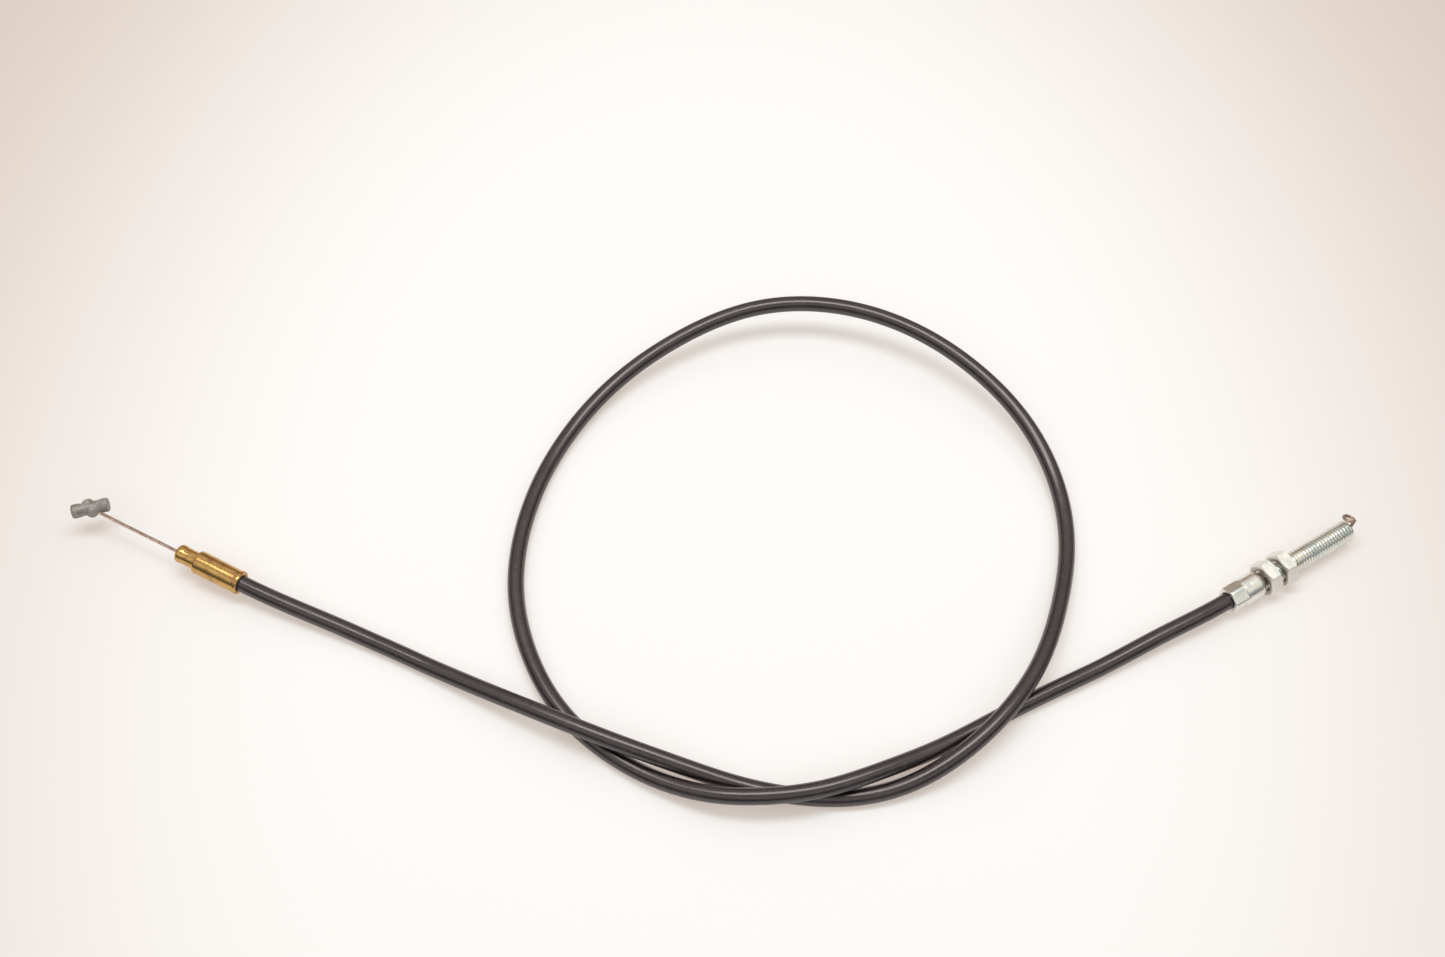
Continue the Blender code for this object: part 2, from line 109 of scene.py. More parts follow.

# %% [markdown]
# ## The casing's route
#
# The casing lies in a loose overhand knot. Its route is a short list of points along the middle of the
# casing: each strand lies on the surface or climbs over the other one in a long low hump.
# A cubic spline through them gives the bend of a stiff sheathed cable, because its curvature never jumps.
# The casing leaves both fittings along their axes, so the spline's two end slopes are given.

# %% Route
CASING_RADIUS = 3.0 * MM
STRAIGHT_PAST_MOUTH = 1.5 * MM
ROUTE_SAMPLES = 420
FERRULE_SOCKET_DEPTH = 17.2 * MM
ADJUSTER_SOCKET_DEPTH = 12.0 * MM
ROUTE = (
    (-0.1336, -0.0268, 0.0038), (-0.1010, -0.0419, 0.0031), (-0.0686, -0.0581, 0.0076),
    (-0.0460, -0.0686, 0.0099), (-0.0322, -0.0742, 0.0098), (-0.0186, -0.0788, 0.0082),
    (-0.0051, -0.0829, 0.0058), (0.0084, -0.0866, 0.0038), (0.0240, -0.0897, 0.0030),
    (0.0440, -0.0909, 0.0030), (0.0635, -0.0872, 0.0042), (0.0846, -0.0762, 0.0084),
    (0.0993, -0.0628, 0.0099), (0.1114, -0.0463, 0.0090), (0.1235, -0.0169, 0.0054),
    (0.1289, 0.0109, 0.0032), (0.1263, 0.0369, 0.0046), (0.1162, 0.0595, 0.0086),
    (0.1005, 0.0782, 0.0124), (0.0755, 0.0965, 0.0156), (0.0460, 0.1068, 0.0166),
    (0.0150, 0.1065, 0.0153), (-0.0140, 0.0953, 0.0112), (-0.0390, 0.0770, 0.0065),
    (-0.0584, 0.0512, 0.0033), (-0.0698, 0.0200, 0.0030), (-0.0720, -0.0120, 0.0030),
    (-0.0654, -0.0379, 0.0030), (-0.0536, -0.0586, 0.0030), (-0.0378, -0.0738, 0.0030),
    (-0.0243, -0.0824, 0.0036), (-0.0111, -0.0884, 0.0056), (0.0020, -0.0920, 0.0082),
    (0.0180, -0.0929, 0.0099), (0.0353, -0.0905, 0.0097), (0.0565, -0.0829, 0.0078),
    (0.0780, -0.0726, 0.0043), (0.1050, -0.0577, 0.0030), (0.1373, -0.0415, 0.0032),
    (0.1581, -0.0307, 0.0050),
)


def curve_slopes(points, knots, first, last):
    """The slopes that make a cubic through the points bend smoothly, with its two end slopes given."""
    count = len(points)
    rows = np.zeros((count, count))
    wanted = np.zeros((count, 3))
    rows[0, 0] = rows[-1, -1] = 1.0
    wanted[0] = first
    wanted[-1] = last
    for i in range(1, count - 1):
        before = knots[i] - knots[i - 1]
        after = knots[i + 1] - knots[i]
        rows[i, i - 1:i + 2] = after, 2 * (before + after), before
        wanted[i] = 3 * (
            after / before * (points[i] - points[i - 1]) + before / after * (points[i + 1] - points[i])
        )
    return np.linalg.solve(rows, wanted)


def smooth_route(points, first, last, samples, steps=40):
    """Evenly spaced points on the smooth curve, none of them lower than the surface allows."""
    points = np.array(points, float)
    spans = np.linalg.norm(np.diff(points, axis=0), axis=1)
    knots = np.concatenate([[0.0], np.cumsum(spans)])
    slopes = curve_slopes(points, knots, np.array(first), np.array(last))
    dense = []
    for i, span in enumerate(spans):
        for step in range(steps):
            t = step / steps
            dense.append(
                (2 * t**3 - 3 * t**2 + 1) * points[i] + (t**3 - 2 * t**2 + t) * span * slopes[i]
                + (3 * t**2 - 2 * t**3) * points[i + 1] + (t**3 - t**2) * span * slopes[i + 1]
            )
    dense = np.array([*dense, points[-1]])
    dense[:, 2] = np.maximum(dense[:, 2], CASING_RADIUS)
    along = np.concatenate([[0.0], np.cumsum(np.linalg.norm(np.diff(dense, axis=0), axis=1))])
    places = np.linspace(0, along[-1], samples)
    return [Vector(np.interp(place, along, dense[:, axis]) for axis in range(3)) for place in places]


leaves = FERRULE_MOUTH - ferrule_way * STRAIGHT_PAST_MOUTH
arrives = ADJUSTER_MOUTH - adjuster_way * STRAIGHT_PAST_MOUTH
curved = smooth_route((leaves, *ROUTE, arrives), -ferrule_way, adjuster_way, ROUTE_SAMPLES)
casing_line = [FERRULE_MOUTH, *curved, ADJUSTER_MOUTH]
free_length = sum((b - a).length for a, b in zip(casing_line, casing_line[1:]))
print("free casing", round(free_length * 1000), "mm")

# %% [markdown]
# ## Shared effects
#
# Four effects turn up in several finishes, so each is a node group, built once. `patches` gives a soft
# mask of blotches, for tarnish, dust and handling marks. `fine_grain` gives a height for a Bump node.
# `lathe_lines` gives the height of the fine rings that a cutting tool leaves around a turned piece.
# `band` is a mask between two heights along an axis, for the painted shade in a gap.
# The groups only put out values that change over the surface. The shader itself stays in each material.

# %% Node helpers
def new_group(name, inputs, output):
    """A node group with float inputs (name, value), one vector input and one float output."""
    tree = bpy.data.node_groups.new(name, "ShaderNodeTree")
    tree.interface.new_socket("Vector", in_out="INPUT", socket_type="NodeSocketVector")
    for label, value in inputs:
        socket = tree.interface.new_socket(label, in_out="INPUT", socket_type="NodeSocketFloat")
        socket.default_value = value
    tree.interface.new_socket(output, in_out="OUTPUT", socket_type="NodeSocketFloat")
    return tree, tree.nodes.new("NodeGroupInput"), tree.nodes.new("NodeGroupOutput")


def add_node(tree, kind, values=(), **settings):
    node = tree.nodes.new(kind)
    for key, value in settings.items():
        setattr(node, key, value)
    for key, value in dict(values).items():
        node.inputs[key].default_value = value
    return node


def math_node(tree, operation, first, second, clamped=False):
    """A Math node. Each of its two inputs is a number or another node's output."""
    node = add_node(tree, "ShaderNodeMath", operation=operation, use_clamp=clamped)
    for socket, value in zip(node.inputs, (first, second)):
        if isinstance(value, float):
            socket.default_value = value
        else:
            tree.links.new(value, socket)
    return node.outputs["Value"]


# %% Patches
patches, given, result = new_group("patches", (("Scale", 200.0), ("Low", 0.4), ("High", 0.7)), "Mask")
clouds = add_node(patches, "ShaderNodeTexNoise", {"Detail": 5.0, "Roughness": 0.6})
spread = add_node(patches, "ShaderNodeMapRange", interpolation_type="SMOOTHSTEP")
patches.links.new(given.outputs["Vector"], clouds.inputs["Vector"])
patches.links.new(given.outputs["Scale"], clouds.inputs["Scale"])
patches.links.new(clouds.outputs["Fac"], spread.inputs["Value"])
patches.links.new(given.outputs["Low"], spread.inputs["From Min"])
patches.links.new(given.outputs["High"], spread.inputs["From Max"])
patches.links.new(spread.outputs["Result"], result.inputs["Mask"])

# %% Fine grain
fine_grain, given, result = new_group("fine_grain", (("Scale", 2500.0), ("Pits", 0.3)), "Height")
specks = add_node(fine_grain, "ShaderNodeTexNoise", {"Detail": 4.0, "Roughness": 0.7})
cells = add_node(fine_grain, "ShaderNodeTexVoronoi", feature="F1")
pitted = add_node(fine_grain, "ShaderNodeMath", operation="MULTIPLY_ADD")
fine_grain.links.new(given.outputs["Vector"], specks.inputs["Vector"])
fine_grain.links.new(given.outputs["Vector"], cells.inputs["Vector"])
fine_grain.links.new(given.outputs["Scale"], specks.inputs["Scale"])
fine_grain.links.new(given.outputs["Scale"], cells.inputs["Scale"])
fine_grain.links.new(cells.outputs["Distance"], pitted.inputs[0])
fine_grain.links.new(given.outputs["Pits"], pitted.inputs[1])
fine_grain.links.new(specks.outputs["Fac"], pitted.inputs[2])
fine_grain.links.new(pitted.outputs["Value"], result.inputs["Height"])

# %% Lathe lines
lathe_lines, given, result = new_group("lathe_lines", (("Lines per metre", 5000.0),), "Height")
split = add_node(lathe_lines, "ShaderNodeSeparateXYZ")
flat = add_node(lathe_lines, "ShaderNodeCombineXYZ")
stretched = add_node(lathe_lines, "ShaderNodeMath", operation="MULTIPLY")
rings = add_node(lathe_lines, "ShaderNodeTexNoise", {"Scale": 1.0, "Detail": 3.0}, noise_dimensions="3D")
lathe_lines.links.new(given.outputs["Vector"], split.inputs["Vector"])
lathe_lines.links.new(split.outputs["Z"], stretched.inputs[0])
lathe_lines.links.new(given.outputs["Lines per metre"], stretched.inputs[1])
lathe_lines.links.new(stretched.outputs["Value"], flat.inputs["Z"])
lathe_lines.links.new(flat.outputs["Vector"], rings.inputs["Vector"])
lathe_lines.links.new(rings.outputs["Fac"], result.inputs["Height"])

# %% Band
band, given, result = new_group(
    "band", (("Low", 0.01), ("High", 0.02), ("Fade", 0.001), ("Strength", 1.0)), "Mask",
)
axes = add_node(band, "ShaderNodeSeparateXYZ")
band.links.new(given.outputs["Vector"], axes.inputs["Vector"])
level = axes.outputs["Z"]
slopes = []
for upper, lower in ((level, given.outputs["Low"]), (given.outputs["High"], level)):
    share = math_node(band, "DIVIDE", math_node(band, "SUBTRACT", upper, lower), given.outputs["Fade"])
    slopes.append(math_node(band, "ADD", share, 1.0, clamped=True))
inside = math_node(band, "MULTIPLY", *slopes)
masked = math_node(band, "MULTIPLY", inside, given.outputs["Strength"])
band.links.new(masked, result.inputs["Mask"])
print("shared effects:", [group.name for group in (patches, fine_grain, lathe_lines, band)])

# %% [markdown]
# ## Materials
#
# Every finish starts from the same recipe: Object coordinates, turned into the piece's own axes where a
# pattern has to follow them, masks that mix a few colours, and for most of them a bump. What differs is in
# the values.

# %% Material helpers
class Finish:
    """One material, with its shader, its coordinates and short calls for what feeds them."""

    def __init__(self, name, roughness, metallic=0.0, place=None):
        self.material = bpy.data.materials.new(name)
        self.material.use_nodes = True
        self.tree = self.material.node_tree
        self.shader = self.tree.nodes["Principled BSDF"]
        self.shader.inputs["Roughness"].default_value = roughness
        self.shader.inputs["Metallic"].default_value = metallic
        self.where = add_node(self.tree, "ShaderNodeTexCoord").outputs["Object"]
        if place is not None:
            self.where = self.turned_to(place)

    def turned_to(self, place):
        """Object coordinates seen from a piece's own axes: first moved to its mouth, then turned."""
        moved = add_node(self.tree, "ShaderNodeMapping", vector_type="TEXTURE")
        moved.inputs["Location"].default_value = place.to_translation()
        moved.inputs["Rotation"].default_value = place.to_euler()
        self.tree.links.new(self.where, moved.inputs["Vector"])
        return moved.outputs["Vector"]

    def group(self, group, **values):
        node = self.tree.nodes.new("ShaderNodeGroup")
        node.node_tree = group
        self.tree.links.new(self.where, node.inputs["Vector"])
        for key, value in values.items():
            node.inputs[key.replace("_", " ")].default_value = value
        return node.outputs[0]

    def mix(self, mask, low, high):
        """A colour between two others. Each of them is a colour or the output of an earlier mix."""
        node = add_node(self.tree, "ShaderNodeMix", data_type="RGBA")
        self.tree.links.new(mask, node.inputs["Factor"])
        for name, value in (("A", low), ("B", high)):
            socket = next(s for s in node.inputs if s.name == name and s.type == "RGBA")
            if isinstance(value, tuple):
                socket.default_value = (*value, 1.0)
            else:
                self.tree.links.new(value, socket)
        return next(s for s in node.outputs if s.type == "RGBA")

    def range(self, mask, low, high):
        node = add_node(self.tree, "ShaderNodeMapRange", {"To Min": low, "To Max": high})
        self.tree.links.new(mask, node.inputs["Value"])
        return node.outputs["Result"]

    def feed(self, socket, output):
        self.tree.links.new(output, self.shader.inputs[socket])

    def bump(self, height, strength, distance):
        node = add_node(self.tree, "ShaderNodeBump", {"Strength": strength, "Distance": distance})
        self.tree.links.new(height, node.inputs["Height"])
        before = self.shader.inputs["Normal"]
        if before.is_linked:
            self.tree.links.new(before.links[0].from_socket, node.inputs["Normal"])
        self.feed("Normal", node.outputs["Normal"])


# %% [markdown]
# ### Black jacket
#
# The jacket is extruded PVC that has been handled: nearly black, with a faint film in blotches about a
# centimetre across, which change both the colour and the roughness, and with small paler scuffs. What it
# mirrors takes a slightly rosy tint, which gives the purplish black of aged PVC.

# %% Jacket finish
JACKET_BLACK = (0.009, 0.006, 0.007)
JACKET_FILM = (0.020, 0.014, 0.016)
JACKET_SCUFF = (0.034, 0.027, 0.028)
MIRROR_LEVEL = 1.0
MIRROR_TINT = (1.0, 0.87, 0.88, 1.0)

jacket = Finish("jacket_plastic", roughness=0.42)
jacket.shader.inputs["Specular IOR Level"].default_value = MIRROR_LEVEL
jacket.shader.inputs["Specular Tint"].default_value = MIRROR_TINT
film = jacket.group(patches, Scale=90.0, Low=0.35, High=0.75)
scuffs = jacket.group(patches, Scale=700.0, Low=0.52, High=0.72)
black = jacket.mix(film, JACKET_BLACK, JACKET_FILM)
jacket.feed("Base Color", jacket.mix(scuffs, black, JACKET_SCUFF))
jacket.feed("Roughness", jacket.range(film, 0.25, 0.34))
jacket.bump(jacket.group(fine_grain, Scale=1500.0, Pits=0.15), 0.12, 0.00005)

# %% [markdown]
# ### Brass
#
# The ferrule was turned from brass bar. Tarnish has browned it in blotches, and the fine rings of the tool
# stretch its highlight a little. Its coordinates are turned to the ferrule's axis, so the rings go round it.

# %% Brass finish
BRASS_GOLDEN = (0.64, 0.39, 0.13)
BRASS_BROWNED = (0.42, 0.225, 0.09)
BRASS_SPOT = (0.36, 0.19, 0.08)

brass = Finish("brass", roughness=0.24, metallic=1.0, place=ferrule_place)
tarnish = brass.group(patches, Scale=260.0, Low=0.42, High=0.72)
spots = brass.group(patches, Scale=1500.0, Low=0.56, High=0.70)
golden = brass.mix(tarnish, BRASS_GOLDEN, BRASS_BROWNED)
brass.feed("Base Color", brass.mix(spots, golden, BRASS_SPOT))
brass.feed("Roughness", brass.range(tarnish, 0.17, 0.28))
brass.bump(brass.group(lathe_lines, Lines_per_metre=9000.0), 0.35, 0.00004)

# %% [markdown]
# ### Zinc plate
#
# Adjuster and nuts are steel with bright zinc plate. The plate's passivation leaves pale yellow blotches, and
# on the adjuster some greenish ones too, so masks mix several near whites. The nuts are duller than the
# adjuster. Painted shade darkens the neck, the thread between the nuts and each nut's rear face, where the
# gaps lie in shadow.

# %% Zinc finish
ZINC_GREY = (0.80, 0.81, 0.79)
ZINC_WHITE = (0.90, 0.88, 0.81)
ZINC_GREENISH = (0.70, 0.74, 0.71)
ADJUSTER_YELLOW = (0.86, 0.79, 0.65)
NUT_YELLOW = (0.89, 0.82, 0.71)
# Colour of the painted shade in the gaps.
PAINTED_SHADE = (0.30, 0.25, 0.21)
# Bands of painted shade: (low, high, fade) in mm from the adjuster's mouth, then strength.
ADJUSTER_PAINTED_SHADE = ((13.3, 16.0, 0.9, 0.7), (20.9, 22.6, 0.3, 0.6))
NUT_PAINTED_SHADE = ((15.0, 15.42, 0.25, 0.65), (22.0, 22.77, 0.25, 0.65))


def zinc_finish(name, yellow, roughness_range, painted_shade_bands):
    """Zinc plate with painted shade in bands: (low, high, fade) in mm from the adjuster's mouth, then
    strength.
    """
    zinc = Finish(name, roughness=0.3, metallic=1.0, place=adjuster_place)
    cloud = zinc.group(patches, Scale=300.0, Low=0.38, High=0.66)
    tint = zinc.group(patches, Scale=820.0, Low=0.45, High=0.68)
    color = zinc.mix(cloud, ZINC_GREY, ZINC_WHITE)
    color = zinc.mix(tint, color, yellow)
    # Each band darkens the plate with painted shade where a gap lies in shadow.
    for low, high, fade, strength in painted_shade_bands:
        painted_shade_mask = zinc.group(band, Low=low * MM, High=high * MM, Fade=fade * MM, Strength=strength)
        color = zinc.mix(painted_shade_mask, color, PAINTED_SHADE)
    zinc.feed("Roughness", zinc.range(cloud, *roughness_range))
    zinc.bump(zinc.group(fine_grain, Scale=2600.0, Pits=0.1), 0.20, 0.00005)
    return zinc, color


zinc_adjuster, plated = zinc_finish("zinc_plate_adjuster", ADJUSTER_YELLOW, (0.24, 0.36), ADJUSTER_PAINTED_SHADE)
greenish = zinc_adjuster.group(patches, Scale=150.0, Low=0.46, High=0.62)
zinc_adjuster.feed("Base Color", zinc_adjuster.mix(greenish, plated, ZINC_GREENISH))
zinc_adjuster.bump(zinc_adjuster.group(lathe_lines, Lines_per_metre=7000.0), 0.25, 0.00003)
zinc_nuts, plated = zinc_finish("zinc_plate_nuts", NUT_YELLOW, (0.34, 0.46), NUT_PAINTED_SHADE)
zinc_nuts.feed("Base Color", plated)

# %% [markdown]
# ### Cast zinc, wire steel and the hidden layers
#
# The nipple is a die casting, matt and grey, with a grainy skin. The wire is stranded steel with a brown
# film. The conduit and the liner are hidden in the jacket, and they get the look that they would show if
# the cable were cut: oily steel, and smooth white plastic.

# %% Other finishes
CAST_DARK = (0.26, 0.238, 0.224)
CAST_LIGHT = (0.43, 0.395, 0.37)
CAST_STAIN = (0.22, 0.16, 0.11)
WIRE_BRIGHT = (0.58, 0.45, 0.38)
WIRE_BROWN = (0.42, 0.30, 0.24)
CONDUIT_CLEAN = (0.46, 0.46, 0.48)
CONDUIT_OILY = (0.30, 0.29, 0.28)
LINER_WHITE = (0.80, 0.80, 0.77)
LINER_HAZY = (0.70, 0.69, 0.64)

cast = Finish("cast_zinc", roughness=0.5, metallic=0.55)
skin = cast.group(patches, Scale=420.0, Low=0.36, High=0.70)
stains = cast.group(patches, Scale=1300.0, Low=0.54, High=0.72)
grey = cast.mix(skin, CAST_DARK, CAST_LIGHT)
cast.feed("Base Color", cast.mix(stains, grey, CAST_STAIN))
cast.feed("Roughness", cast.range(skin, 0.42, 0.62))
cast.bump(cast.group(fine_grain, Scale=2200.0, Pits=0.5), 0.55, 0.00010)

wire = Finish("wire_steel", roughness=0.38, metallic=1.0)
browning = wire.group(patches, Scale=500.0, Low=0.35, High=0.65)
wire.feed("Base Color", wire.mix(browning, WIRE_BRIGHT, WIRE_BROWN))
wire.feed("Roughness", wire.range(browning, 0.32, 0.50))

conduit = Finish("conduit_steel", roughness=0.35, metallic=1.0)
oil = conduit.group(patches, Scale=300.0, Low=0.4, High=0.7)
conduit.feed("Base Color", conduit.mix(oil, CONDUIT_CLEAN, CONDUIT_OILY))
conduit.bump(conduit.group(fine_grain, Scale=900.0, Pits=0.6), 0.5, 0.0001)

liner = Finish("liner_plastic", roughness=0.3)
haze = liner.group(patches, Scale=150.0, Low=0.4, High=0.7)
liner.feed("Base Color", liner.mix(haze, LINER_WHITE, LINER_HAZY))

HIDDEN_LAYERS = {"casing_conduit": conduit, "casing_liner": liner, "inner_wire_run": wire}
for node_name, finish in HIDDEN_LAYERS.items():
    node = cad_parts[node_name]
    for material_slot in node.material_slots:
        material_slot.material = finish.material
print("hidden layers with a finish:", sorted(HIDDEN_LAYERS))

# %% [markdown]
# ## From a bmesh to a piece
#
# Every new piece ends the same way: its place goes into the mesh, its doubles are merged, it gets smooth
# shading with sharp edges where it turns a corner, it gets its finish, it is hung on the body it rides on,
# and the solid it stands for is hidden.

# %% Finish a piece
ROUND_STEPS = 96
SHARP_ANGLE = math.radians(32)
MERGE_REACH = 0.002


def make_piece(name, shape, place, finish, body, slot, *replaced):
    shape.transform(place)
    mesh = bpy.data.meshes.new(name)
    shape.to_mesh(mesh)
    shape.free()
    mesh.shade_smooth()
    mesh.set_sharp_from_angle(angle=SHARP_ANGLE)
    mesh.materials.append(finish.material)
    piece = bpy.data.objects.new(name, mesh)
    scene.collection.objects.link(piece)
    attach(piece, body)
    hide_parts(*replaced)
    print(name, len(mesh.polygons), "faces")
    return piece


def closed_up(shape):
    """Merges what meets and points every face outwards."""
    bmesh.ops.remove_doubles(shape, verts=shape.verts, dist=MERGE_REACH * MM)
    bmesh.ops.recalc_face_normals(shape, faces=shape.faces)
    return shape


# %% [markdown]
# ## Turned pieces
#
# A lathe makes a shape from an outline, and so does `bmesh.ops.spin`. The outline is a list of (radius,
# height) pairs in millimetres. No real edge is perfectly sharp, and it is the small round on an edge that
# catches the light, so `softened` first cuts each corner of the outline and puts a short arc there.

# %% Spin an outline
LARGEST_CUT = 0.4


def softened(outline, radius, closed=True, steps=3):
    """The outline with a short arc at each corner, which cuts at most 0.4 of the shorter side."""
    corners = [Vector(pair) for pair in outline]
    count = len(corners)
    made = []
    for i, corner in enumerate(corners):
        if corner.x == 0 or (not closed and i in (0, count - 1)):
            made.append(corner)
            continue
        before = corners[i - 1] - corner
        after = corners[(i + 1) % count] - corner
        cut = min(radius, LARGEST_CUT * before.length, LARGEST_CUT * after.length)
        first = corner + before.normalized() * cut
        last = corner + after.normalized() * cut
        for step in range(steps + 1):
            t = step / steps
            made.append(first * (1 - t)**2 + corner * 2 * t * (1 - t) + last * t**2)
    return made


def spun(outline, steps=ROUND_STEPS, closed=True):
    """Turns an outline, in millimetres, round local Z. An open one leaves its two ends open."""
    shape = bmesh.new()
    points = [shape.verts.new((radius * MM, 0, height * MM)) for radius, height in outline]
    edges = [shape.edges.new(pair) for pair in zip(points, points[1:])]
    if closed:
        edges.append(shape.edges.new((points[-1], points[0])))
    bmesh.ops.spin(
        shape, geom=[*points, *edges], cent=(0, 0, 0), axis=(0, 0, 1),
        angle=2 * math.pi, steps=steps, use_merge=True,
    )
    return closed_up(shape)


# %% [markdown]
# ## Casing
#
# The jacket is one tube along the route. A curve with a round bevel follows it exactly: it leaves the
# adjuster's sleeve, runs 1.02 m through the knot, and goes into the ferrule. Its ends go on inside both
# fittings, where the crimp holds them.

tube = bpy.data.curves.new("casing_cover", "CURVE")
tube.dimensions = "3D"
tube.twist_mode = "MINIMUM"
tube.bevel_depth = CASING_RADIUS
tube.bevel_resolution = 8
tube.use_fill_caps = True
in_ferrule = FERRULE_MOUTH + ferrule_way * FERRULE_SOCKET_DEPTH
in_adjuster = ADJUSTER_MOUTH + adjuster_way * ADJUSTER_SOCKET_DEPTH
tube_points = [in_ferrule, *casing_line, in_adjuster]
spline = tube.splines.new("POLY")
spline.points.add(len(tube_points) - 1)
for point, place in zip(spline.points, tube_points):
    point.co = (*place, 1.0)
tube.materials.append(jacket.material)
casing_cover = bpy.data.objects.new("casing_cover", tube)
scene.collection.objects.link(casing_cover)
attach(casing_cover, "casing")
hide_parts("casing_jacket")
print("casing_cover", len(tube_points), "points along the tube")

# %% [markdown]
# ## Ferrule
#
# The ferrule is a brass cap. Its rear has a small flared lip where the casing goes in, its shoulder rests
# on the lever's bracket, and its narrow nose goes through the bracket's hole. The nose ends in a raised
# rim. One closed outline holds all of it, with the socket and the wire's bore inside.

# %% Ferrule
FERRULE_OUTLINE = (
    (3.25, 0.0), (4.15, 0.0), (4.42, 0.5), (4.42, 1.2), (4.26, 2.0), (4.38, 17.9), (4.2, 18.5),
    (3.22, 18.55), (3.2, 23.9), (3.4, 24.5), (3.4, 25.9), (2.8, 26.7), (1.5, 26.7), (1.0, 26.1),
    (1.0, 17.5), (3.04, 17.5), (3.04, 0.3),
)
ferrule_shape = spun(softened(FERRULE_OUTLINE, radius=0.3))
make_piece("ferrule_turned", ferrule_shape, ferrule_place, brass, "casing", "brass", "ferrule")

# %% [markdown]
# ## Adjuster
#
# The adjuster is one long screw with a sleeve at its rear. We turn the sleeve, the neck and the bore from
# an open outline, and leave a gap in it for the thread, which is not a turned shape.
#
# The sleeve is crimped onto the casing with a six-sided tool. Its vertices near the mouth are pushed in to
# the tool's flats, with a short smooth step where the flats end.

# %% Sleeve and bore
THREAD_START = 15.2
THREAD_END = 56.8
BORE_RADIUS = 1.2
COUNTERSINK_RADIUS = 1.6
CRIMP_END = 6.0
CRIMP_APOTHEM = 4.5
CRIMP_INSIDE = 4.0
CRIMP_FADE = 0.4
SLEEVE_RADIUS = 5.0
SOCKET_RADIUS = 3.04
SOCKET_END = 12.3
RIM_FOLLOWS = 0.6
SLEEVE_OUTLINE = (
    (3.3, THREAD_START), (3.3, 14.35), (4.05, 14.25), (4.62, 13.75), (SLEEVE_RADIUS, 12.5),
    (SLEEVE_RADIUS, 6.6), (SLEEVE_RADIUS, 6.2), (SLEEVE_RADIUS, 5.8), (SLEEVE_RADIUS, 5.4),
    (SLEEVE_RADIUS, 3.0), (SLEEVE_RADIUS, 0.45), (4.62, 0.0), (3.3, 0.0), (SOCKET_RADIUS, 0.3),
    (SOCKET_RADIUS, SOCKET_END), (BORE_RADIUS, SOCKET_END), (BORE_RADIUS, 56.3),
    (COUNTERSINK_RADIUS, THREAD_END),
)


def crimp(shape):
    """Presses the sleeve's outside in to six flats, up to the crimp's end."""
    for vert in shape.verts:
        radius = vert.co.xy.length / MM
        height = vert.co.z / MM
        if radius < CRIMP_INSIDE or height > CRIMP_END + CRIMP_FADE:
            continue
        around = math.atan2(vert.co.y, vert.co.x)
        from_flat = (around + math.pi / 6) % (math.pi / 3) - math.pi / 6
        pressed = CRIMP_APOTHEM / math.cos(from_flat) - max(0, SLEEVE_RADIUS - radius) * RIM_FOLLOWS
        pressed = min(radius, pressed)
        fade = min(1, max(0, (CRIMP_END + CRIMP_FADE - height) / (2 * CRIMP_FADE)))
        fade = fade * fade * (3 - 2 * fade)
        vert.co.xy *= (radius + (pressed - radius) * fade) / radius
    return shape


adjuster_shape = crimp(spun(softened(SLEEVE_OUTLINE, radius=0.25, closed=False), closed=False))

# %% [markdown]
# ### The thread
#
# An M8 thread climbs 1.25 mm each turn. Its outline over one turn, swept round the axis while it climbs by
# that much, meets itself exactly: the top of each turn is the bottom of the next. `bmesh.ops.spin` does
# this with `dvec`, the climb for each step. Once the doubles are merged it is one wall with no seams. Two
# planes cut it to length, and a cone at each end makes the run-out and the chamfer. Its two open rims are
# then bridged to the rims of the turned part, which closes the whole adjuster.

# %% Thread
PITCH = 1.25
CREST_RADIUS = 3.97
ROOT_RADIUS = 3.24
THREAD_STEPS = 48
RUN_OUT_RADIUS = 3.32
RUN_OUT_SLOPE = 1.2
TIP_RADIUS = 3.15
THREAD_GAP = 0.02
THREAD_MERGE_REACH = 0.005
CUT_REACH = 0.0005
RIM_REACH = 0.05
TOOTH = (
    (ROOT_RADIUS, 0.0), (ROOT_RADIUS, 0.20), (CREST_RADIUS - 0.06, 0.62), (CREST_RADIUS, 0.69),
    (CREST_RADIUS, 0.76), (CREST_RADIUS - 0.06, 0.83), (ROOT_RADIUS, PITCH),
)


def thread_wall(first, last):
    shape = bmesh.new()
    points = [shape.verts.new((radius * MM, 0, (first - PITCH + height) * MM)) for radius, height in TOOTH]
    edges = [shape.edges.new(pair) for pair in zip(points, points[1:])]
    turns = math.ceil((last - first) / PITCH) + 2
    bmesh.ops.spin(
        shape, geom=[*points, *edges], cent=(0, 0, 0), axis=(0, 0, 1), angle=2 * math.pi * turns,
        steps=THREAD_STEPS * turns, dvec=(0, 0, PITCH * MM / THREAD_STEPS),
    )
    bmesh.ops.remove_doubles(shape, verts=shape.verts, dist=THREAD_MERGE_REACH * MM)
    for height, facing in ((first, -1), (last, 1)):
        everything = [*shape.verts, *shape.edges, *shape.faces]
        bmesh.ops.bisect_plane(
            shape, geom=everything, dist=CUT_REACH * MM, plane_co=(0, 0, height * MM),
            plane_no=(0, 0, facing), clear_outer=True,
        )
    for vert in shape.verts:
        height = vert.co.z / MM
        allowed = min(RUN_OUT_RADIUS + (height - first) * RUN_OUT_SLOPE, TIP_RADIUS + (last - height))
        radius = vert.co.xy.length / MM
        vert.co.xy *= min(radius, allowed) / radius
    return shape


